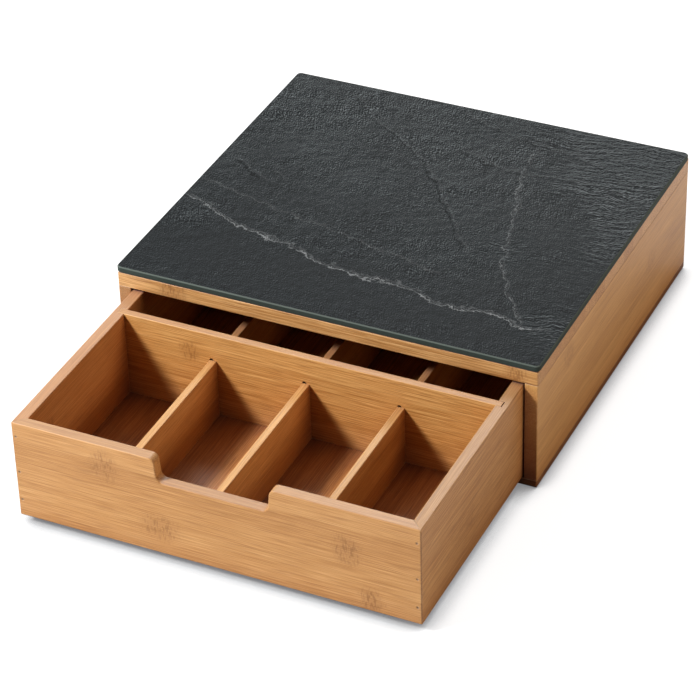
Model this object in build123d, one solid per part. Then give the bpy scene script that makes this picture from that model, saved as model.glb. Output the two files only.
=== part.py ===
"""Bamboo tea bag drawer box with a slate-look glass top.

A flat case of glued bamboo boards, open at the front, carries a glass plate. One mitred drawer slides in
the case on its bottom board. The drawer has a finger notch, one cross divider and six small dividers, which
make eight compartments. It is modelled as photographed, pulled out by PULL_OUT.

Millimetres, +Z up. The origin is the centre of the case's base, +X is to the right and the drawer opens
towards -Y.
"""

import os

from build123d import *

# Case
CASE_WIDTH = 330.0
CASE_DEPTH = 310.0
SIDE_HEIGHT = 82.5
SIDE_THICKNESS = 10.0
TOP_THICKNESS = 11.5
BOTTOM_THICKNESS = 6.5
BACK_THICKNESS = 6.5
BACK_LAP = 5.0  # how far the back panel laps into each side board
CORNER_EASE = 0.8  # rounding of the upright corners
FACE_EASE = 0.5  # rounding of the front edges round the opening
BASE_ROUND = 2.0  # rounding of the bottom board's lower edges

# Glass plate
GLASS_LENGTH = 309.0
GLASS_THICKNESS = 5.0
GLASS_SIDE_OVERHANG = 1.0
GLASS_FRONT_OVERHANG = 0.7
GLASS_CORNER = 4.0
GLASS_ARRIS = 0.8
PAD_THICKNESS = 0.5
PAD_RADIUS = 6.0
PAD_INSET = 25.0  # from the plate's edges to the corner pads' centres

# Drawer
PULL_OUT = 176.6
SIDE_GAP = 1.0
FLOOR_GAP = 0.3
TOP_GAP = 1.8
REAR_GAP = 2.5  # behind the drawer when its front is flush with the case
WALL = 9.0
WALL_EASE = 0.8
WALL_FOOT_ROUND = 1.5
FLOOR_THICKNESS = 5.0
FLOOR_LIFT = 6.0  # from the walls' lower edges to the floor groove
FLOOR_GROOVE_DEPTH = 4.5
FLOOR_END_GAP = 0.4
GROOVE_PLAY = 0.2

# Finger notch in the drawer front
NOTCH_TOP_WIDTH = 87.0
NOTCH_BASE_WIDTH = 84.0
NOTCH_DEPTH = 19.0
NOTCH_ROUND = 5.0

# Dividers
CROSS_THICKNESS = 6.0
DADO_DEPTH = 5.0
DADO_END_GAP = 0.7
DIVIDER_THICKNESS = 5.5
DIVIDER_DROP = 22.0  # from the walls' top edges down to the small dividers' tops
DIVIDER_COLUMNS = 4
TONGUE_THICKNESS = 2.8
TONGUE_LENGTH = 2.0
TONGUE_GROOVE_RISE = 1.4  # of the groove's round end above the divider
DIVIDER_EASE = 0.5

# Brads
BRAD_RADIUS = 0.6
BRAD_HEAD_RADIUS = 0.8
BRAD_HEAD_LENGTH = 1.0
BRAD_SINK = 0.4
BRAD_PLAY = 0.05
CORNER_BRAD_LENGTH = 20.0
CORNER_BRAD_INSET = 3.0
CORNER_BRAD_LOW = 14.4  # from the drawer's lower edge
CORNER_BRAD_MIDDLE = 38.5
CORNER_BRAD_HIGH = 68.8
BOARD_BRAD_LENGTH = 28.0
BACK_BRAD_LENGTH = 18.0
BRAD_END_INSET = 30.0  # from a board's end to its outermost brad
SIDE_BRADS = 4
BACK_BRADS = 3

# Worked out from the sizes above
front_y = -CASE_DEPTH / 2
back_y = CASE_DEPTH / 2
half_width = CASE_WIDTH / 2
side_top = BOTTOM_THICKNESS + SIDE_HEIGHT
case_top = side_top + TOP_THICKNESS
drawer_width = CASE_WIDTH - 2 * (SIDE_THICKNESS + SIDE_GAP)
drawer_depth = CASE_DEPTH - BACK_THICKNESS - REAR_GAP
drawer_height = SIDE_HEIGHT - FLOOR_GAP - TOP_GAP
drawer_y = front_y - PULL_OUT
drawer_z = BOTTOM_THICKNESS + FLOOR_GAP
drawer_top = drawer_z + drawer_height
inner_width = drawer_width - 2 * WALL
compartment_depth = (drawer_depth - 2 * WALL - CROSS_THICKNESS) / 2
compartment_width = (inner_width - (DIVIDER_COLUMNS - 1) * DIVIDER_THICKNESS) / DIVIDER_COLUMNS
cross_y = drawer_y + WALL + compartment_depth
floor_z = drawer_z + FLOOR_LIFT
floor_top = floor_z + FLOOR_THICKNESS
divider_top = drawer_top - DIVIDER_DROP
wall_ease = min(WALL_EASE, WALL / 4)
tongue_groove_depth = TONGUE_LENGTH + GROOVE_PLAY


def block(low, high):
    """Box between two corners."""
    size = [b - a for a, b in zip(low, high)]
    return Pos(*low) * Box(*size, align=(Align.MIN, Align.MIN, Align.MIN))


def spread(first, last, count):
    """Evenly spaced places from first to last."""
    return [first + (last - first) * i / (count - 1) for i in range(count)]


def edges_at(shape, axis, **place):
    """Edges along an axis whose middle lies at the given x, y or z."""
    found = shape.edges().filter_by(axis)
    for name, value in place.items():
        found = [e for e in found if abs(getattr(e.center(), name.upper()) - value) < 0.01]
    return found


# Brads: a shank along +Z from the head, which is sunk below the face at z = 0.


def brad(length):
    """Finishing brad, its head BRAD_SINK below the face that it is driven through."""
    low = (Align.CENTER, Align.CENTER, Align.MIN)
    head = Pos(0, 0, BRAD_SINK) * Cylinder(BRAD_HEAD_RADIUS, BRAD_HEAD_LENGTH, align=low)
    shank = Pos(0, 0, BRAD_SINK) * Cylinder(BRAD_RADIUS, length, align=low)
    return head + shank


def brad_hole(length):
    """The hole that the brad leaves, with BRAD_PLAY all round."""
    low = (Align.CENTER, Align.CENTER, Align.MIN)
    depth = BRAD_SINK + BRAD_HEAD_LENGTH + BRAD_PLAY
    mouth = Cylinder(BRAD_HEAD_RADIUS + BRAD_PLAY, depth + 1, align=low)
    shank = Cylinder(BRAD_RADIUS + BRAD_PLAY, BRAD_SINK + length + BRAD_PLAY, align=low)
    return Pos(0, 0, -1) * mouth + shank


def drive(places, length):
    """Brads and their holes at the given locations, as a pair of lists."""
    return [place * brad(length) for place in places], [place * brad_hole(length) for place in places]


def drilled(board, holes):
    """The board with the brad holes that reach it."""
    for hole in holes:
        board = board - hole
    return board


side_brad_x = half_width - SIDE_THICKNESS / 2
side_brad_y = spread(front_y + BRAD_END_INSET, back_y - BRAD_END_INSET, SIDE_BRADS)
top_brads, top_holes = drive(
    [Pos(x, y, case_top) * Rot(X=180) for x in (-side_brad_x, side_brad_x) for y in side_brad_y],
    BOARD_BRAD_LENGTH,
)
bottom_brads, bottom_holes = drive(
    [Pos(x, y, 0) for x in (-side_brad_x, side_brad_x) for y in side_brad_y],
    BOARD_BRAD_LENGTH,
)
back_brad_x = half_width - SIDE_THICKNESS + BACK_LAP / 2
back_brad_z = spread(BOTTOM_THICKNESS + SIDE_HEIGHT / 6, side_top - SIDE_HEIGHT / 6, BACK_BRADS)
back_brads, back_holes = drive(
    [Pos(x, back_y, z) * Rot(X=90) for x in (-back_brad_x, back_brad_x) for z in back_brad_z],
    BACK_BRAD_LENGTH,
)
corner_brad_x = drawer_width / 2 - CORNER_BRAD_INSET
corner_brad_z = [drawer_z + height for height in (CORNER_BRAD_LOW, CORNER_BRAD_MIDDLE, CORNER_BRAD_HIGH)]
front_corner_brads, front_corner_holes = drive(
    [Pos(x, drawer_y, z) * Rot(X=-90) for x in (-corner_brad_x, corner_brad_x) for z in corner_brad_z],
    CORNER_BRAD_LENGTH,
)
rear_corner_brads, rear_corner_holes = drive(
    [
        Pos(x, drawer_y + drawer_depth, z) * Rot(X=90)
        for x in (-corner_brad_x, corner_brad_x)
        for z in corner_brad_z
    ],
    CORNER_BRAD_LENGTH,
)

# Case boards


def case_top_board():
    board = block((-half_width, front_y, side_top), (half_width, back_y, case_top))
    board = fillet(board.edges().filter_by(Axis.Z), CORNER_EASE)
    rims = [e for e in board.edges() if e.bounding_box().max.Y < front_y + 2 * CORNER_EASE]
    long_rims = [e for e in rims if e.length > CASE_WIDTH / 2]
    board = fillet(long_rims, FACE_EASE)
    return drilled(board, top_holes)


def case_bottom_board():
    board = block((-half_width, front_y, 0), (half_width, back_y, BOTTOM_THICKNESS))
    board = fillet(board.edges().filter_by(Axis.Z), CORNER_EASE)
    lower = [e for e in board.edges() if e.bounding_box().max.Z < 0.01]
    board = fillet(lower, BASE_ROUND)
    return drilled(board, bottom_holes)


def case_side(sign):
    """Side board, with a rabbet at its back edge for the back panel."""
    outer = sign * half_width
    inner = sign * (half_width - SIDE_THICKNESS)
    lap = sign * (half_width - SIDE_THICKNESS + BACK_LAP)
    board = block((min(outer, inner), front_y, BOTTOM_THICKNESS), (max(outer, inner), back_y, side_top))
    board = fillet(edges_at(board, Axis.Z, x=outer), CORNER_EASE)
    board = fillet(edges_at(board, Axis.Z, x=inner, y=front_y), FACE_EASE)
    rabbet_y = back_y - BACK_THICKNESS
    board -= block((min(inner, lap), rabbet_y, BOTTOM_THICKNESS), (max(inner, lap), back_y, side_top))
    return drilled(board, top_holes + bottom_holes + back_holes)


def case_back_panel():
    half = half_width - SIDE_THICKNESS + BACK_LAP
    panel = block((-half, back_y - BACK_THICKNESS, BOTTOM_THICKNESS), (half, back_y, side_top))
    return drilled(panel, back_holes)


# Glass plate and the pads that bond it to the top board

glass_half = half_width + GLASS_SIDE_OVERHANG
glass_front = front_y - GLASS_FRONT_OVERHANG
glass_back = glass_front + GLASS_LENGTH
glass_z = case_top + PAD_THICKNESS


def glass_plate():
    plate = block((-glass_half, glass_front, glass_z), (glass_half, glass_back, glass_z + GLASS_THICKNESS))
    plate = fillet(plate.edges().filter_by(Axis.Z), GLASS_CORNER)
    rims = [e for e in plate.edges() if e.bounding_box().size.Z < 0.01]
    return chamfer(rims, GLASS_ARRIS)


def glass_pads():
    """One pad near each corner of the plate and one in its middle."""
    pad = Cylinder(PAD_RADIUS, PAD_THICKNESS, align=(Align.CENTER, Align.CENTER, Align.MIN))
    middle_y = (glass_front + glass_back) / 2
    places = [
        (sign * (glass_half - PAD_INSET), y)
        for sign in (-1, 1)
        for y in (glass_front + PAD_INSET, glass_back - PAD_INSET)
    ]
    return [Pos(x, y, case_top) * pad for x, y in places + [(0, middle_y)]]


# Drawer walls. Each one is made lying along X, with its outer face at y = 0 and its lower edge at z = 0.


def wall_outline(length, notched):
    """Outer face of a wall, with the finger notch where asked."""
    half = length / 2
    corners = [(-half, 0), (half, 0), (half, drawer_height)]
    if notched:
        notch_base = drawer_height - NOTCH_DEPTH
        rim = [(NOTCH_TOP_WIDTH / 2, drawer_height), (NOTCH_BASE_WIDTH / 2, notch_base)]
        corners += rim + [(-x, z) for x, z in reversed(rim)]
    corners.append((-half, drawer_height))
    face = make_face(Polyline(*corners, close=True))
    if notched:
        bends = [v for v in face.vertices() if abs(v.X) < NOTCH_TOP_WIDTH / 2 + 1]
        face = fillet(bends, NOTCH_ROUND)
    return face


def drawer_wall(length, notched=False):
    """Wall with eased edges, 45 degree mitres at its ends and the groove for the drawer floor."""
    wall = extrude(Plane.XZ * wall_outline(length, notched), -WALL)
    rim_low = drawer_height - NOTCH_DEPTH - 1
    rims = [e for e in wall.edges() if e.bounding_box().size.Y < 0.01 and e.bounding_box().min.Z > rim_low]
    wall = fillet(rims, wall_ease)
    wall = fillet(edges_at(wall, Axis.X, y=0, z=0), WALL_FOOT_ROUND)
    corners = [e for e in edges_at(wall, Axis.Z, y=0) if abs(e.center().X) > length / 2 - 0.01]
    wall = fillet(corners, wall_ease)
    reach = length / 2
    over = 1.0
    mitre = make_face(
        Polyline(
            (-reach - over, -over),
            (reach + over, -over),
            (reach - WALL - over, WALL + over),
            (-reach + WALL + over, WALL + over),
            close=True,
        )
    )
    wall = wall & Pos(0, 0, -over) * extrude(mitre, drawer_height + 2 * over)
    groove_top = FLOOR_LIFT + FLOOR_THICKNESS + GROOVE_PLAY
    return wall - block((-reach, WALL - FLOOR_GROOVE_DEPTH, FLOOR_LIFT), (reach, WALL + over, groove_top))


# Small dividers stand in rows, in front of the cross divider and behind it.


def divider_x(column):
    """Left face of a small divider."""
    return -inner_width / 2 + column * (compartment_width + DIVIDER_THICKNESS) - DIVIDER_THICKNESS


def divider_span(row):
    """Front and back face of the walls that a row of small dividers stands between."""
    start = drawer_y + WALL if row == 0 else cross_y + CROSS_THICKNESS
    return start, start + compartment_depth


def tongue_groove(column, face, direction):
    """Round-ended groove that takes a divider's tongue, cut from a wall's face in the Y direction given."""
    width = TONGUE_THICKNESS + GROOVE_PLAY
    left = divider_x(column) - GROOVE_PLAY / 2
    end_z = divider_top + TONGUE_GROOVE_RISE - width / 2
    deep = face + direction * tongue_groove_depth
    slot = block((left, min(face, deep), floor_top), (left + width, max(face, deep), end_z))
    end = Cylinder(width / 2, tongue_groove_depth, rotation=(90, 0, 0))
    return slot + Pos(left + width / 2, (face + deep) / 2, end_z) * end


def tongue_grooves(face, direction):
    return [tongue_groove(column, face, direction) for column in range(1, DIVIDER_COLUMNS)]


def cross_dado(sign):
    """Dado in a side wall for the end of the cross divider, open at the wall's top."""
    inner = sign * inner_width / 2
    deep = inner + sign * DADO_DEPTH
    low = (min(inner, deep), cross_y - GROOVE_PLAY / 2, floor_top)
    return block(low, (max(inner, deep), cross_y + CROSS_THICKNESS + GROOVE_PLAY / 2, drawer_top + 1))


def drawer_front():
    wall = Pos(0, drawer_y, drawer_z) * drawer_wall(drawer_width, notched=True)
    return drilled(wall, tongue_grooves(drawer_y + WALL, -1) + front_corner_holes)


def drawer_back():
    rear = drawer_y + drawer_depth
    wall = Pos(0, rear, drawer_z) * Rot(Z=180) * drawer_wall(drawer_width)
    return drilled(wall, tongue_grooves(rear - WALL, 1) + rear_corner_holes)


def drawer_side(sign):
    middle = drawer_y + drawer_depth / 2
    wall = Pos(sign * drawer_width / 2, middle, drawer_z) * Rot(Z=sign * 90) * drawer_wall(drawer_depth)
    return drilled(wall - cross_dado(sign), front_corner_holes + rear_corner_holes)


def drawer_floor():
    half = inner_width / 2 + FLOOR_GROOVE_DEPTH - FLOOR_END_GAP
    reach = WALL - FLOOR_GROOVE_DEPTH + FLOOR_END_GAP
    return block((-half, drawer_y + reach, floor_z), (half, drawer_y + drawer_depth - reach, floor_top))


def eased_top(board, top, radius):
    """The board with its two long upper edges rounded."""
    rims = [e for e in board.edges() if e.bounding_box().min.Z > top - 0.01]
    longest = max(e.length for e in rims)
    return fillet([e for e in rims if e.length > longest - 0.01], radius)


def cross_divider():
    """Full-height board across the drawer, pushed home in the left dado."""
    left = -inner_width / 2 - DADO_DEPTH
    right = inner_width / 2 + DADO_DEPTH - DADO_END_GAP
    board = block((left, cross_y, floor_top), (right, cross_y + CROSS_THICKNESS, drawer_top))
    board = eased_top(board, drawer_top, DIVIDER_EASE)
    grooves = tongue_grooves(cross_y, 1) + tongue_grooves(cross_y + CROSS_THICKNESS, -1)
    return drilled(board, grooves)


def small_divider(row, column):
    """Divider with a barefaced tongue at each end, flush with its left face."""
    left = divider_x(column)
    front, back = divider_span(row)
    board = block((left, front, floor_top), (left + DIVIDER_THICKNESS, back, divider_top))
    board = eased_top(board, divider_top, DIVIDER_EASE)
    tongue_top = divider_top - TONGUE_THICKNESS / 2
    low = (left, front - TONGUE_LENGTH, floor_top)
    return board + block(low, (left + TONGUE_THICKNESS, back + TONGUE_LENGTH, tongue_top))


nodes = {
    "case_top_board": case_top_board(),
    "case_bottom_board": case_bottom_board(),
    "case_left_side": case_side(-1),
    "case_right_side": case_side(1),
    "case_back_panel": case_back_panel(),
    "case_top_brads": Compound(children=top_brads),
    "case_bottom_brads": Compound(children=bottom_brads),
    "case_back_brads": Compound(children=back_brads),
    "glass_top_plate": glass_plate(),
    "glass_bonding_pads": Compound(children=glass_pads()),
    "drawer_front": drawer_front(),
    "drawer_back": drawer_back(),
    "drawer_left_side": drawer_side(-1),
    "drawer_right_side": drawer_side(1),
    "drawer_floor": drawer_floor(),
    "drawer_cross_divider": cross_divider(),
    "drawer_front_brads": Compound(children=front_corner_brads),
    "drawer_back_brads": Compound(children=rear_corner_brads),
}
for row, row_name in enumerate(("front", "rear")):
    for column in range(1, DIVIDER_COLUMNS):
        nodes[f"{row_name}_divider_{column}"] = small_divider(row, column)

os.makedirs("parts", exist_ok=True)
for name, shape in nodes.items():
    export_step(shape, f"parts/{name}.step")
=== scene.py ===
import math

import bpy
from mathutils import Matrix, Vector

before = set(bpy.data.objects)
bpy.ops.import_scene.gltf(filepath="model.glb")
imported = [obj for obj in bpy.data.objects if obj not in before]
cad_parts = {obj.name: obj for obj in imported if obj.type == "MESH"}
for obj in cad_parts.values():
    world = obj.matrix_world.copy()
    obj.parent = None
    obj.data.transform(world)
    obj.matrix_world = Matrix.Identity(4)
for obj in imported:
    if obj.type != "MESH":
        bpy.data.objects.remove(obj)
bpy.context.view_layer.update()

# Lengths are in metres and colours are linear RGB, unless a comment says otherwise.
WHITE = (1.0, 1.0, 1.0)
NOISE_MIDDLE = (0.3, 0.7)  # nearly all values of a noise lie between these

# Camera, fitted to the edges in the photograph. Angles are in degrees.
CAMERA_PLACE = (0.78164, -1.72841, 1.29628)
CAMERA_AZIMUTH = -25.790
CAMERA_ELEVATION = 34.808
CAMERA_ROLL = -1.744
CAMERA_REACH = 50
FOCAL_PIXELS = 2993.0
IMAGE_PIXELS = 700.0
SENSOR_WIDTH = 36.0  # millimetres


def make_camera():
    """Camera at the photograph's viewpoint."""
    azimuth, elevation, roll = (
        math.radians(angle) for angle in (CAMERA_AZIMUTH, CAMERA_ELEVATION, CAMERA_ROLL)
    )
    forward = Vector(
        (
            math.sin(azimuth) * math.cos(elevation),
            math.cos(azimuth) * math.cos(elevation),
            -math.sin(elevation),
        )
    )
    level = forward.cross(Vector((0, 0, 1))).normalized()
    upright = level.cross(forward)
    right = math.cos(roll) * level + math.sin(roll) * upright
    up = math.cos(roll) * upright - math.sin(roll) * level
    data = bpy.data.cameras.new("camera")
    data.sensor_width = SENSOR_WIDTH
    data.lens = FOCAL_PIXELS / IMAGE_PIXELS * SENSOR_WIDTH
    data.clip_end = CAMERA_REACH
    camera = bpy.data.objects.new("camera", data)
    bpy.context.scene.collection.objects.link(camera)
    turn = Matrix((right, up, -forward)).transposed().to_4x4()
    camera.matrix_world = Matrix.Translation(CAMERA_PLACE) @ turn
    bpy.context.scene.camera = camera


make_camera()
bpy.context.scene.view_settings.view_transform = "Standard"


class Net:
    """Short calls that build one material's nodes. Values are numbers, tuples or sockets."""

    def __init__(self, name):
        self.material = bpy.data.materials.new(name)
        self.material.use_nodes = True
        self.tree = self.material.node_tree
        self.shader = self.tree.nodes["Principled BSDF"]

    def add(self, kind, inputs=None, **settings):
        node = self.tree.nodes.new("ShaderNode" + kind)
        for key, value in settings.items():
            setattr(node, key, value)
        for key, value in (inputs or {}).items():
            self.feed(node.inputs[key], value)
        return node

    def feed(self, socket, value):
        if isinstance(value, bpy.types.NodeSocket):
            self.tree.links.new(value, socket)
        elif socket.type == "RGBA":
            socket.default_value = (*value, 1.0)
        else:
            socket.default_value = value

    def math(self, operation, *values, clamp=False):
        node = self.add("Math", operation=operation, use_clamp=clamp)
        for socket, value in zip(node.inputs, values):
            self.feed(socket, value)
        return node.outputs[0]

    def times(self, first, second):
        return self.math("MULTIPLY", first, second)

    def distance(self, first, second):
        return self.math("ABSOLUTE", self.math("SUBTRACT", first, second))

    def swing(self, noise, gain, base, clamp=False):
        """base, moved by a noise's swing about its middle."""
        return self.math("MULTIPLY_ADD", self.math("SUBTRACT", noise, 0.5), gain, base, clamp=clamp)

    def place(self, x=0.0, y=0.0, z=0.0):
        return self.add("CombineXYZ", {"X": x, "Y": y, "Z": z}).outputs[0]

    def split(self, vector):
        return self.add("SeparateXYZ", {0: vector}).outputs

    def vector_math(self, operation, first, second=None, output="Vector"):
        inputs = {0: first} if second is None else {0: first, 1: second}
        return self.add("VectorMath", inputs, operation=operation).outputs[output]

    def noise(self, vector, detail=2.0, roughness=0.5, scale=1.0, distortion=0.0):
        inputs = {
            "Vector": vector,
            "Scale": scale,
            "Detail": detail,
            "Roughness": roughness,
            "Distortion": distortion,
        }
        return self.add("TexNoise", inputs).outputs["Fac"]

    def scatter(self, value):
        """Random number from 0 to 1 for each value."""
        return self.add("TexWhiteNoise", {"W": value}, noise_dimensions="1D").outputs["Value"]

    def remap(self, value, low, high, to_low=0.0, to_high=1.0, smooth=False):
        inputs = {0: value, 1: low, 2: high, 3: to_low, 4: to_high}
        kind = "SMOOTHSTEP" if smooth else "LINEAR"
        return self.add("MapRange", inputs, interpolation_type=kind).outputs[0]

    def mix(self, factor, first, second, blend="MIX"):
        inputs = {0: factor, 6: first, 7: second}
        return self.add("Mix", inputs, data_type="RGBA", blend_type=blend).outputs[2]

    def cover(self, color, mask, share, other):
        """color, with a share of another colour where the mask is 1."""
        return self.mix(self.times(mask, share), color, other)

    def tint(self, color, tint, factor=1.0):
        return self.mix(factor, color, tint, "MULTIPLY")

    def ramp(self, factor, stops):
        node = self.add("ValToRGB", {"Fac": factor})
        elements = node.color_ramp.elements
        while len(elements) < len(stops):
            elements.new(0.5)
        for element, (position, color) in zip(elements, stops):
            element.position = position
            element.color = (*color, 1.0)
        return node.outputs[0]

    def open_sky(self, reach, samples):
        """1 in the open, and less where faces within reach close the surface in."""
        return self.add("AmbientOcclusion", {"Distance": reach}, samples=samples).outputs["AO"]

    def object_place(self):
        return self.split(self.add("TexCoord").outputs["Object"])

    def normal(self):
        return self.add("NewGeometry").outputs["Normal"]

    def finish(self, color, roughness, gloss, bump):
        """Joins up the shader. bump holds the Bump node's inputs."""
        self.feed(self.shader.inputs["Base Color"], color)
        self.feed(self.shader.inputs["Roughness"], roughness)
        self.shader.inputs["Specular IOR Level"].default_value = gloss
        self.feed(self.shader.inputs["Normal"], self.add("Bump", bump).outputs[0])
        return self.material


# Bamboo strips. Streaks are noise drawn out along the grain: cells per metre along and across it.
AXES = {"X": 0, "Y": 1, "Z": 2}
STRIP_WIDTH = 0.0195
STRIP_START = 0.3  # shifts the seams, as a share of a strip's width
STRIP_JUMP = 37.0  # largest shift of the pattern from strip to strip
SEAM_EDGES = (0.485, 0.497)  # shares of a strip's width from its middle
SEED_STEP = 3.7
FINE_STREAKS = (22.0, 1900.0)
MEDIUM_STREAKS = (10.0, 520.0)
BROAD_STREAKS = (3.0, 60.0)
PORE_STREAKS = (45.0, 1150.0)
PORE_EDGES = (0.57, 0.70)
FINE_GAIN = 2.2
MEDIUM_GAIN = 0.35
BROAD_GAIN = 0.30
STRIP_GAIN = 0.42
PORE_SHARE = 0.30
SEAM_SHARE = 0.22
FIBRE_COLORS = (
    (0.0, (0.335, 0.147, 0.042)),
    (0.5, (0.480, 0.238, 0.080)),
    (1.0, (0.600, 0.340, 0.138)),
)
PORE_COLOR = (0.26, 0.115, 0.04)
SEAM_COLOR = (0.25, 0.12, 0.045)

# Growth rings: a faint patch with dashes in it, whose outline wobbles.
RING_WOBBLE = 0.012
RING_WOBBLE_CELLS = 160.0
RING_WOBBLE_SEED = 5.0
RING_EDGES = (1.15, 0.35)  # where a patch begins and is full, as shares of its half sizes
RING_SHARE = 0.45
RING_COLOR = (0.35, 0.160, 0.052)
DASH_CELLS = (700.0, 210.0)  # per metre along and across the grain
DASH_EDGES = (0.50, 0.62)
DASH_SHARE = 0.60
DASH_COLOR = (0.21, 0.086, 0.026)

# Colour of the boards: sanded rims with a painted sheen, end grain, painted shade in corners and on
# shaded end grain, and arrises with a painted highlight.
END_GRAIN_EDGES = (0.8, 0.95)  # of the normal's share along the grain
RIM_HEIGHTS = (0.060, 0.063)  # rims above these are sanded paler and get a painted sheen
RIM_EDGES = (0.75, 0.97)  # of the normal's upward share
# Painted shade in corners and recesses: how far the occlusion test reaches, and tints from the most
# closed-in places to open wood.
PAINTED_SHADE_REACH = 0.05
PAINTED_SHADE_TINTS = (
    (0.12, (0.30, 0.25, 0.50)),
    (0.34, (0.58, 0.48, 0.56)),
    (0.58, (0.95, 0.88, 0.83)),
    (0.82, WHITE),
)
SHADED_END_EDGES = (0.78, 0.58)  # of the open sky
ARRIS_RADIUS = 0.0011
ARRIS_EDGES = (0.02, 0.25)
MITRE_EDGES = (0.3, 0.05)  # of the softened normal's upward share
ARRIS_SHARE = 0.35
MITRE_SHARE = 0.90
# Painted highlight along the arrises.
PAINTED_ARRIS_HIGHLIGHT = (0.80, 0.60, 0.42)
MITRE_COLOR = (0.16, 0.075, 0.035)
BAMBOO_ROUGHNESS = 0.40
ROUGHNESS_GAIN = 0.22
PORE_RELIEF = -0.7
BAMBOO_RELIEF = {"Strength": 0.55, "Distance": 0.00006}


def fibres(net, along, side, deep, seed, contrast):
    """Glued strips with streaks and pores. Gives their colour, the fine streaks and the pores."""
    strip = net.math("ADD", net.math("DIVIDE", side, STRIP_WIDTH), STRIP_START + seed)
    tone = net.scatter(net.math("FLOOR", strip))
    seam = net.remap(net.distance(net.math("FRACT", strip), 0.5), *SEAM_EDGES)
    shifted = net.math("ADD", along, net.times(tone, STRIP_JUMP))

    def streaks(cells, **options):
        lengthways, crossways = cells
        place = net.place(
            net.times(shifted, lengthways),
            net.times(side, crossways),
            net.math("ADD", net.times(deep, crossways), seed * SEED_STEP),
        )
        return net.noise(place, **options)

    fine = streaks(FINE_STREAKS, detail=2.5, roughness=0.7)
    pores = net.remap(streaks(PORE_STREAKS, detail=1.0), *PORE_EDGES)
    level = net.swing(fine, FINE_GAIN * contrast, 0.5)
    level = net.swing(streaks(MEDIUM_STREAKS, detail=1.0), MEDIUM_GAIN, level)
    level = net.swing(streaks(BROAD_STREAKS, detail=1.0), BROAD_GAIN, level)
    level = net.swing(tone, STRIP_GAIN, level, clamp=True)
    color = net.ramp(level, FIBRE_COLORS)
    color = net.cover(color, pores, PORE_SHARE * contrast, PORE_COLOR)
    color = net.cover(color, seam, SEAM_SHARE, SEAM_COLOR)
    return color, fine, pores


def growth_rings(net, color, along, side, deep, seed, rings):
    """Adds growth rings to a board's colour."""
    wobble_place = net.place(net.times(side, RING_WOBBLE_CELLS), along, seed + RING_WOBBLE_SEED)
    shifted = net.swing(net.noise(wobble_place, detail=2.0), RING_WOBBLE, along)
    mask = None
    for along_at, side_at, half_length, half_width, strength in rings:
        offset = net.place(
            net.math("DIVIDE", net.math("SUBTRACT", shifted, along_at), half_length),
            net.math("DIVIDE", net.math("SUBTRACT", side, side_at), half_width),
        )
        far = net.vector_math("LENGTH", offset, output="Value")
        spot = net.remap(far, *RING_EDGES, 0.0, strength, smooth=True)
        mask = spot if mask is None else net.math("MAXIMUM", mask, spot)
    lengthways, crossways = DASH_CELLS
    dash_place = net.place(
        net.times(along, lengthways), net.times(side, crossways), net.times(deep, crossways)
    )
    dashes = net.noise(dash_place, detail=1.5, roughness=0.6, distortion=0.35)
    color = net.cover(color, mask, RING_SHARE, RING_COLOR)
    mask = net.times(mask, net.remap(dashes, *DASH_EDGES))
    return net.cover(color, mask, DASH_SHARE, DASH_COLOR)


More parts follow.
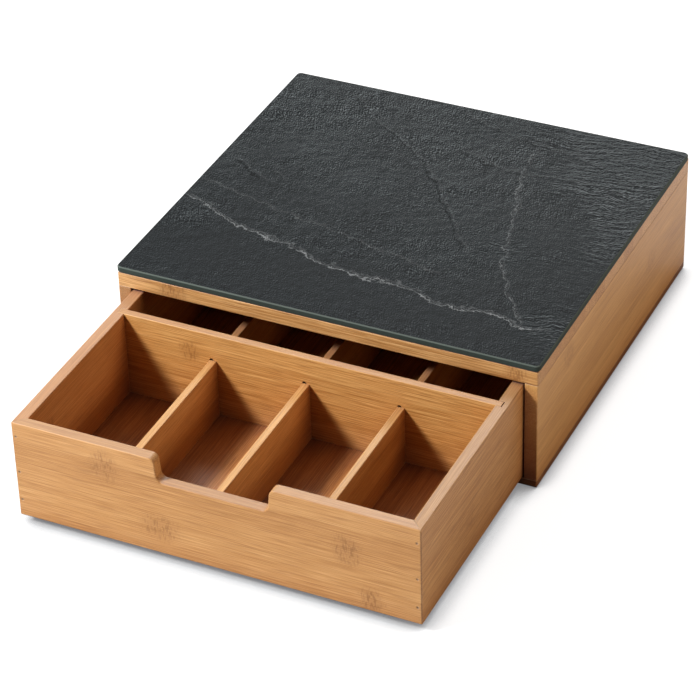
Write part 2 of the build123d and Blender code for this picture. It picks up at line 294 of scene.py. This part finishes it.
def bamboo(
    name,
    grain,
    across,
    seed,
    rings=(),
    tint=WHITE,
    contrast=1.15,
    rim_color=(0.38, 0.272, 0.208),
    rim_share=0.35,
    end_tint=WHITE,
    end_shade=WHITE,
    mitres=(-1.0, 1.0),
    gloss=0.35,
):
    """Board of glued bamboo strips.

    grain is the axis along the fibres and across the one over the strips' width. rings has each
    growth ring's place along the grain, place across it, half length, half width and strength.
    end_tint is for the end grain, and end_shade for where another piece shades it. The board is
    mitred beyond the two mitres, which are places along the grain.
    """
    net = Net(name)
    place = net.object_place()
    (third,) = set(AXES) - {grain, across}
    along, side, deep = (place[AXES[axis]] for axis in (grain, across, third))
    color, fine, pores = fibres(net, along, side, deep, seed, contrast)
    if rings:
        color = growth_rings(net, color, along, side, deep, seed, rings)
    color = net.tint(color, tint)

    facing = net.split(net.normal())
    end_grain = net.remap(net.math("ABSOLUTE", facing[AXES[grain]]), *END_GRAIN_EDGES)
    color = net.tint(color, end_tint, end_grain)
    # The top faces of high rims get another colour: their sanding, and a painted sheen.
    high = net.remap(place[AXES["Z"]], *RIM_HEIGHTS)
    rim = net.times(net.remap(facing[AXES["Z"]], *RIM_EDGES), high)
    color = net.cover(color, rim, rim_share, rim_color)
    # Painted shade: the colour darkens where nearby faces close the surface in.
    open_sky = net.open_sky(PAINTED_SHADE_REACH, samples=8)
    color = net.tint(color, net.ramp(open_sky, PAINTED_SHADE_TINTS))
    # Painted shade on end grain where another piece closes it in.
    shaded_end = net.times(end_grain, net.remap(open_sky, *SHADED_END_EDGES))
    color = net.tint(color, end_shade, shaded_end)

    # Arrises get a painted highlight, but the mitres show as dark upright lines.
    soft = net.add("Bevel", {"Radius": ARRIS_RADIUS}, samples=6).outputs[0]
    flat = net.vector_math("DOT_PRODUCT", soft, net.normal(), output="Value")
    arris = net.remap(net.math("SUBTRACT", 1.0, flat), *ARRIS_EDGES)
    lift = net.math("ABSOLUTE", net.split(soft)[AXES["Z"]])
    low_mitre, high_mitre = mitres
    beyond = net.math(
        "MAXIMUM",
        net.math("GREATER_THAN", along, high_mitre),
        net.math("LESS_THAN", along, low_mitre),
    )
    mitre = net.times(net.remap(lift, *MITRE_EDGES), beyond)
    share = net.remap(mitre, 0.0, 1.0, ARRIS_SHARE, MITRE_SHARE)
    color = net.cover(color, arris, share, net.mix(mitre, PAINTED_ARRIS_HIGHLIGHT, MITRE_COLOR))

    height = net.math("MULTIPLY_ADD", pores, PORE_RELIEF, fine)
    roughness = net.swing(fine, ROUGHNESS_GAIN, BAMBOO_ROUGHNESS)
    return net.finish(color, roughness, gloss, {**BAMBOO_RELIEF, "Height": height, "Normal": soft})


# Slate print. Its noises: the level each is read at, cells per metre and roughness.
WARP_NOISE = {"level": 2.0, "scale": 9.0, "detail": 3.0}
CLOUD_NOISE = {"level": 4.0, "scale": 12.0, "detail": 3.0}
BREAK_NOISE = {"level": 6.0, "scale": 140.0, "detail": 3.0, "roughness": 0.7}
JAG_NOISE = {"level": 9.0, "scale": 70.0, "detail": 5.0, "roughness": 0.7}
# Grain of the cleft stone: its angle, fine and coarse cells per metre along and across it, and the
# weight of the coarse ones.
PEBBLY_GRAIN = {
    "angle": 0.81,
    "seed": 1.0,
    "fine": (680.0, 1250.0),
    "coarse": (80.0, 140.0),
    "weight": 1.4,
}
STREAKY_GRAIN = {
    "angle": -0.16,
    "seed": 5.0,
    "fine": (300.0, 1150.0),
    "coarse": (60.0, 260.0),
    "weight": 1.5,
}
SLOPE_STEP = 0.0005
WARP = 0.05  # how far the grain bends
CLOUD_SPREAD = 0.36  # how far clouds shift the borders between kinds of stone
CLOUD_GAIN = 0.12
STREAKY_SLANT = 0.5  # how much the border of the streaky stone turns towards the back
RELIEF_SLANT = 0.15  # how much the border of the rough stone turns towards the right
STREAKY_EDGES = (0.07, 0.17)  # from the pebbly stone at the left to the streaky stone at the right
RELIEF_EDGES = (-0.12, 0.11)  # from the smooth stone at the front to the rough stone at the back
RELIEF_GAINS = (1.4, 3.4)
SLATE_LEVEL = 0.312
# The print is lighter where the stone is rough, towards the back: rougher stone, and partly a
# painted sheen.
ROUGH_STONE_AND_SHEEN_LIFT = 0.034
SLATE_COLORS = (
    (0.0, (0.003, 0.0035, 0.004)),
    (0.38, (0.0150, 0.0172, 0.0186)),
    (0.62, (0.035, 0.0416, 0.0440)),
    (1.0, (0.135, 0.150, 0.156)),
)
VEIN_COLOR = (0.34, 0.355, 0.36)
TWIN_SHARE = 0.35
CRACK_COLOR = (0.003, 0.0035, 0.004)
CRACK_LIP_COLOR = (0.22, 0.235, 0.24)
CRACK_LIP_SHARE = 0.16
GLASS_ARRIS_EDGES = (0.95, 0.85)  # of the normal's upward share
GLASS_ARRIS_COLOR = (0.085, 0.104, 0.092)
GLASS_EDGE_EDGES = (0.35, 0.2)
GLASS_EDGE_COLOR = (0.038, 0.050, 0.044)
GLASS_ROUGHNESS = (0.42, 0.54)
GLASS_GLOSS = 0.03
GLASS_RELIEF = {"Strength": 0.12, "Distance": 0.0002}

# Veins and cracks: the axis they run along, points (along it, across it), half width and strength.
CURVE_REACH = 0.2
VEIN_TAPER = 0.012
VEIN_JAG = 0.022
BREAK_EDGES = (0.36, 0.56)
BREAK_STRENGTHS = (0.2, 1.0)
TWIN_OFFSET = 2.6  # half widths from a vein to the fainter line beside it
VEINS = (
    (
        "X",
        (
            (-0.166, -0.046), (-0.140, -0.057), (-0.114, -0.070), (-0.064, -0.082),
            (-0.014, -0.098), (0.039, -0.101), (0.075, -0.111), (0.115, -0.108),
            (0.134, -0.116), (0.158, -0.109),
        ),
        0.0010,
        0.62,
    ),
    (
        "Y",
        (
            (-0.116, 0.138), (-0.099, 0.125), (-0.072, 0.107), (-0.048, 0.094),
            (-0.012, 0.083), (0.035, 0.071), (0.084, 0.058), (0.116, 0.057),
        ),
        0.0008,
        0.40,
    ),
    (
        "X",
        (
            (-0.166, -0.020), (-0.135, -0.029), (-0.108, -0.037), (-0.042, -0.050),
            (0.023, -0.066), (0.060, -0.076),
        ),
        0.0006,
        0.26,
    ),
    ("Y", ((-0.106, 0.146), (-0.100, 0.157), (-0.094, 0.166)), 0.0006, 0.40),
)
CRACKS = (
    (
        "Y",
        (
            (-0.044, 0.062), (-0.013, 0.040), (0.024, 0.013), (0.063, -0.019),
            (0.083, -0.043), (0.111, -0.083), (0.140, -0.110),
        ),
        0.0016,
        1.0,
    ),
    ("X", ((-0.162, 0.017), (-0.138, 0.003), (-0.112, -0.009)), 0.0013, 1.0),
    ("X", ((-0.126, 0.015), (-0.101, -0.003)), 0.0012, 1.0),
    ("X", ((0.0, 0.090), (0.06, 0.074), (0.11, 0.078), (0.166, 0.066)), 0.0016, 0.8),
    ("X", ((-0.02, 0.142), (0.03, 0.124), (0.09, 0.112), (0.166, 0.086)), 0.0014, 0.7),
)


def slope(net, x, y, angle, seed, fine, coarse, weight):
    """Slope of cleft stone whose grain lies at an angle."""
    heights = []
    for step in (0.0, SLOPE_STEP):
        place = net.place(net.math("ADD", x, -step), net.math("ADD", y, step), seed)
        inputs = {"Vector": place, "Angle": angle}
        turned = net.add("VectorRotate", inputs, rotation_type="Z_AXIS").outputs[0]
        small = net.vector_math("MULTIPLY", turned, (*fine, 1.0))
        large = net.vector_math("MULTIPLY", turned, (*coarse, 1.0))
        layers = net.noise(large, detail=3.0, roughness=0.6)
        grains = net.noise(small, detail=1.5, roughness=0.6)
        heights.append(net.math("MULTIPLY_ADD", layers, weight, grains))
    return net.math("SUBTRACT", *heights)


def vein(net, run, rise, jag, breaks, points, half_width, strength):
    """Masks of a vein along a curve through points, and of its twin, a line beside it."""
    curve = net.add("FloatCurve", {"Value": net.remap(run, -CURVE_REACH, CURVE_REACH)})
    knots = curve.mapping.curves[0].points
    while len(knots) < len(points):
        knots.new(0.5, 0.5)
    for knot, point in zip(knots, points):
        knot.location = tuple((value + CURVE_REACH) / (2 * CURVE_REACH) for value in point)
    curve.mapping.update()
    height = net.remap(curve.outputs[0], 0.0, 1.0, -CURVE_REACH, CURVE_REACH)
    gap = net.math("ADD", net.math("SUBTRACT", rise, height), jag)
    start, end = points[0][0], points[-1][0]
    ends = net.times(
        net.remap(run, start, start + VEIN_TAPER), net.remap(run, end - VEIN_TAPER, end, 1.0, 0.0)
    )
    breaks = net.remap(breaks, *BREAK_EDGES, *BREAK_STRENGTHS)
    shown = net.times(net.times(ends, strength), breaks)
    return [
        net.times(net.remap(net.distance(gap, beside), half_width, 0.0, smooth=True), shown)
        for beside in (0.0, half_width * TWIN_OFFSET)
    ]


def slate_glass():
    """Glass with a slate look printed on its back, and green ground edges."""
    net = Net("slate_look_glass")
    x, y, _ = net.object_place()

    def noise(level, **options):
        return net.noise(net.place(x, y, level), **options)

    bend = net.times(net.math("SUBTRACT", noise(**WARP_NOISE), 0.5), WARP)
    warped = net.math("ADD", x, bend), net.math("SUBTRACT", y, bend)
    cloud = noise(**CLOUD_NOISE)
    spread = net.times(net.math("SUBTRACT", cloud, 0.5), CLOUD_SPREAD)
    to_right = net.math("ADD", net.math("MULTIPLY_ADD", y, STREAKY_SLANT, x), spread)
    to_back = net.math("ADD", net.math("MULTIPLY_ADD", x, RELIEF_SLANT, y), spread)
    streaky = net.remap(to_right, *STREAKY_EDGES, smooth=True)
    relief = net.remap(to_back, *RELIEF_EDGES, *RELIEF_GAINS)
    pebbles = slope(net, *warped, **PEBBLY_GRAIN)
    streaks = slope(net, *warped, **STREAKY_GRAIN)
    lit = net.math("MULTIPLY_ADD", streaky, net.math("SUBTRACT", streaks, pebbles), pebbles)
    level = net.math("MULTIPLY_ADD", lit, relief, SLATE_LEVEL)
    level = net.swing(cloud, CLOUD_GAIN, level)
    # Lighter towards the back: rougher stone, and partly a painted sheen.
    level = net.math("MULTIPLY_ADD", relief, ROUGH_STONE_AND_SHEEN_LIFT, level, clamp=True)
    color = net.ramp(level, SLATE_COLORS)

    jag = net.times(net.math("SUBTRACT", noise(**JAG_NOISE), 0.5), VEIN_JAG)
    breaks = noise(**BREAK_NOISE)
    axes = {"X": (x, y), "Y": (y, x)}
    for axis, *line in CRACKS:
        dark, lip = vein(net, *axes[axis], jag, breaks, *line)
        color = net.cover(color, lip, CRACK_LIP_SHARE, CRACK_LIP_COLOR)
        color = net.mix(dark, color, CRACK_COLOR)
    for axis, *line in VEINS:
        core, twin = vein(net, *axes[axis], jag, breaks, *line)
        color = net.mix(core, color, VEIN_COLOR)
        color = net.cover(color, twin, TWIN_SHARE, VEIN_COLOR)

    upward = net.split(net.normal())[AXES["Z"]]
    color = net.mix(net.remap(upward, *GLASS_ARRIS_EDGES), color, GLASS_ARRIS_COLOR)
    color = net.mix(net.remap(upward, *GLASS_EDGE_EDGES), color, GLASS_EDGE_COLOR)
    roughness = net.remap(cloud, *NOISE_MIDDLE, *GLASS_ROUGHNESS)
    return net.finish(color, roughness, GLASS_GLOSS, {**GLASS_RELIEF, "Height": lit})


# Small parts.
PLAIN_RELIEF = {"Strength": 0.3, "Distance": 0.00005}
PLAIN_DARK = 0.6  # of the colour, between specks
PLAIN_ROUGHNESS_SPREAD = 0.1


def plain(name, color, metallic, roughness, cells):
    """Flat colour with some grain, in cells per metre, for small parts."""
    net = Net(name)
    speck = net.noise(net.add("TexCoord").outputs["Object"], scale=cells, detail=3.0)
    dark = tuple(channel * PLAIN_DARK for channel in color)
    net.shader.inputs["Metallic"].default_value = metallic
    net.feed(net.shader.inputs["Base Color"], net.mix(speck, dark, color))
    rough_ends = roughness - PLAIN_ROUGHNESS_SPREAD, roughness + PLAIN_ROUGHNESS_SPREAD
    rough = net.remap(speck, *NOISE_MIDDLE, *rough_ends)
    net.feed(net.shader.inputs["Roughness"], rough)
    bump = net.add("Bump", {**PLAIN_RELIEF, "Height": speck})
    net.feed(net.shader.inputs["Normal"], bump.outputs[0])
    return net.material


# Looks of each board, as the arguments of bamboo.
MITRES_X = (-0.143, 0.143)  # of the drawer's front and back
MITRES_Y = (-0.320, -0.042)  # of the drawer's sides
# The dividers' rims: sanded wood with a painted golden highlight.
DIVIDER = {"grain": "Y", "across": "Z", "rim_color": (0.60, 0.38, 0.17), "rim_share": 0.2}
BOARDS = {
    "case_top_board": {
        "grain": "X",
        "across": "Y",
        "seed": 3,
        "rings": ((-0.120, -0.155, 0.012, 0.02, 1.0), (0.148, -0.155, 0.010, 0.02, 1.0)),
        "tint": (1.12, 1.18, 1.22),
        "contrast": 2.2,
    },
    "case_bottom_board": {"grain": "X", "across": "Y", "seed": 11, "tint": (0.50, 0.42, 0.38)},
    "case_left_side": {
        "grain": "Y",
        "across": "Z",
        "seed": 23,
        "rings": ((0.02, 0.03, 0.012, 0.010, 0.8),),
        "end_tint": (0.76, 0.78, 0.88),
    },
    "case_right_side": {
        "grain": "Y",
        "across": "Z",
        "seed": 31,
        "rings": ((0.075, 0.055, 0.012, 0.011, 0.5), (-0.095, 0.078, 0.012, 0.012, 0.6)),
        # Painted light: the shaded right side is made lighter and paler.
        "tint": (1.20, 1.30, 1.26),
        "contrast": 0.8,
        # painted shade on the front end grain beside the drawer
        "end_shade": (0.62, 0.50, 0.55),
    },
    "case_back_panel": {
        "grain": "X",
        "across": "Z",
        "seed": 41,
        "rings": ((-0.08, 0.035, 0.012, 0.010, 0.8), (0.06, 0.065, 0.012, 0.010, 0.8)),
    },
    "drawer_front": {
        "grain": "X",
        "across": "Z",
        "seed": 53,
        "rings": (
            (-0.083, 0.070, 0.012, 0.016, 0.8),
            (-0.042, 0.029, 0.018, 0.013, 0.8),
            (0.100, 0.054, 0.013, 0.015, 0.9),
            (0.117, 0.017, 0.010, 0.012, 0.9),
        ),
        "mitres": MITRES_X,
    },
    "drawer_back": {
        "grain": "X",
        "across": "Z",
        "seed": 61,
        "rings": ((0.05, 0.04, 0.012, 0.010, 0.8),),
        "mitres": MITRES_X,
    },
    "drawer_left_side": {
        "grain": "Y",
        "across": "Z",
        "seed": 71,
        "rings": ((-0.30, 0.06, 0.010, 0.012, 0.9),),
        "tint": (0.98, 0.87, 0.84),
        "mitres": MITRES_Y,
    },
    "drawer_right_side": {
        "grain": "Y",
        "across": "Z",
        "seed": 83,
        "rings": ((-0.25, 0.04, 0.010, 0.012, 0.5),),
        "contrast": 1.6,
        "rim_color": (0.30, 0.18, 0.10),
        "rim_share": 0.5,
        "mitres": MITRES_Y,
    },
    "drawer_floor": {
        "grain": "Y",
        "across": "X",
        "seed": 97,
        "rings": ((-0.12, 0.05, 0.012, 0.012, 0.8),),
        "tint": (0.88, 0.74, 0.66),
        "contrast": 1.8,
        "gloss": 0.6,
    },
    "drawer_cross_divider": {
        "grain": "X",
        "across": "Z",
        "seed": 101,
        "rings": ((-0.093, 0.068, 0.009, 0.010, 1.0),),
        "tint": (1.13, 1.13, 1.0),
        "contrast": 1.8,
        "rim_color": (0.34, 0.20, 0.15),
        "rim_share": 0.45,
    },
    "front_divider_1": {**DIVIDER, "seed": 113, "tint": (1.06, 1.05, 1.05)},
    "front_divider_2": {**DIVIDER, "seed": 127, "tint": (1.22, 1.25, 1.27)},
    "front_divider_3": {**DIVIDER, "seed": 131},
    "rear_divider_1": {**DIVIDER, "seed": 149},
    "rear_divider_2": {**DIVIDER, "seed": 151},
    "rear_divider_3": {**DIVIDER, "seed": 163},
}


def dress(node, material):
    """Gives a CAD node one material."""
    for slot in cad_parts[node].material_slots:
        slot.link = "OBJECT"
        slot.material = material


for node, looks in BOARDS.items():
    dress(node, bamboo("bamboo_" + node, **looks))
dress("glass_top_plate", slate_glass())
dress("glass_bonding_pads", plain("bonding_pad", (0.05, 0.05, 0.05), 0.0, 0.6, 900))
steel = plain("brad_steel", (0.42, 0.27, 0.15), 0.3, 0.6, 2500)
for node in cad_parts:
    if node.endswith("_brads"):
        dress(node, steel)

# Floor. The camera and reflections see its glow and a little light, and the other rays its colour.
FLOOR_HALF_SIZE = 6.0
FLOOR_COLOR = (0.78, 0.78, 0.78)
FLOOR_ROUGHNESS = 0.9
FLOOR_GLOSS = 0.1
FLOOR_GLOW = 0.96
FLOOR_SHEEN = (0.24, 0.24, 0.24)
CONTACT_REACH = 0.025
CONTACT_SHADOW = (
    (0.40, (0.21, 0.215, 0.225)),
    (0.54, (0.43, 0.44, 0.455)),
    (0.65, (0.70, 0.71, 0.725)),
    (0.76, (0.93, 0.935, 0.94)),
    (0.86, WHITE),
)
MIRROR_REACH = 0.16
MIRROR_SHADOW = ((0.55, (0.04, 0.04, 0.04)), (0.75, (0.25, 0.25, 0.25)), (0.92, WHITE))
SHOWN_RAYS = ("Is Camera Ray", "Is Glossy Ray", "Is Transmission Ray")


def make_floor():
    """Plain pale floor with a soft contact shadow, darker near the box in reflections."""
    size = FLOOR_HALF_SIZE
    mesh = bpy.data.meshes.new("floor")
    corners = [(-size, -size, 0), (size, -size, 0), (size, size, 0), (-size, size, 0)]
    mesh.from_pydata(corners, [], [(0, 1, 2, 3)])
    floor = bpy.data.objects.new("floor", mesh)
    bpy.context.scene.collection.objects.link(floor)
    net = Net("floor")
    net.shader.inputs["Base Color"].default_value = (*FLOOR_COLOR, 1.0)
    net.shader.inputs["Roughness"].default_value = FLOOR_ROUGHNESS
    net.shader.inputs["Specular IOR Level"].default_value = FLOOR_GLOSS
    path = net.add("LightPath").outputs
    camera, glossy, transmission = (path[ray] for ray in SHOWN_RAYS)
    seen = net.math("MAXIMUM", net.math("MAXIMUM", camera, glossy), transmission)
    contact = net.ramp(net.open_sky(CONTACT_REACH, samples=12), CONTACT_SHADOW)
    mirrored = net.ramp(net.open_sky(MIRROR_REACH, samples=8), MIRROR_SHADOW)
    shade = net.tint(contact, net.mix(glossy, WHITE, mirrored))
    glow = net.add("Emission", {"Color": shade, "Strength": FLOOR_GLOW}).outputs[0]
    sheen = net.add("BsdfDiffuse", {"Color": FLOOR_SHEEN}).outputs[0]
    shown = net.add("AddShader", {0: glow, 1: sheen}).outputs[0]
    both = net.add("MixShader", {0: seen, 1: net.shader.outputs[0], 2: shown}).outputs[0]
    net.feed(net.tree.nodes["Material Output"].inputs["Surface"], both)
    mesh.materials.append(net.material)


# Lamps: name, direction from the box, distance, width, power in watts and colour.
LIT_POINT = (0, -0.1, 0.05)
LAMPS = (
    ("key", (-0.79, -0.84, 1.02), 2.4, 0.45, 87.0, WHITE),
    ("back", (-0.25, 1.00, 0.90), 3.0, 1.2, 32.0, WHITE),
    ("right", (1.00, 0.10, 0.36), 3.0, 0.8, 25.0, (1.0, 0.72, 0.50)),
)
AMBIENT = 0.02


def make_lamp(name, direction, distance, width, power, color):
    """Square softbox that shines at the lit point from a direction."""
    data = bpy.data.lights.new(name, "AREA")
    data.shape = "SQUARE"
    data.size = width
    data.energy = power
    data.color = color
    lamp = bpy.data.objects.new(name, data)
    bpy.context.scene.collection.objects.link(lamp)
    aim = Vector(direction).normalized()
    lamp.location = Vector(LIT_POINT) + aim * distance
    lamp.rotation_euler = aim.to_track_quat("Z", "Y").to_euler()


def make_world():
    """White surroundings for the camera and reflections, and soft light for the object."""
    world = bpy.data.worlds.new("studio")
    world.use_nodes = True
    bpy.context.scene.world = world
    tree = world.node_tree
    soft = tree.nodes["Background"]
    white = tree.nodes.new("ShaderNodeBackground")
    for background, strength in ((soft, AMBIENT), (white, 1.0)):
        background.inputs["Color"].default_value = (*WHITE, 1.0)
        background.inputs["Strength"].default_value = strength
    path = tree.nodes.new("ShaderNodeLightPath").outputs
    seen, *others = (path[ray] for ray in SHOWN_RAYS)
    for other in others:
        either = tree.nodes.new("ShaderNodeMath")
        either.operation = "MAXIMUM"
        tree.links.new(seen, either.inputs[0])
        tree.links.new(other, either.inputs[1])
        seen = either.outputs[0]
    both = tree.nodes.new("ShaderNodeMixShader")
    for socket, output in zip(both.inputs, (seen, soft.outputs[0], white.outputs[0])):
        tree.links.new(output, socket)
    tree.links.new(both.outputs[0], tree.nodes["World Output"].inputs[0])


make_floor()
for lamp in LAMPS:
    make_lamp(*lamp)
make_world()
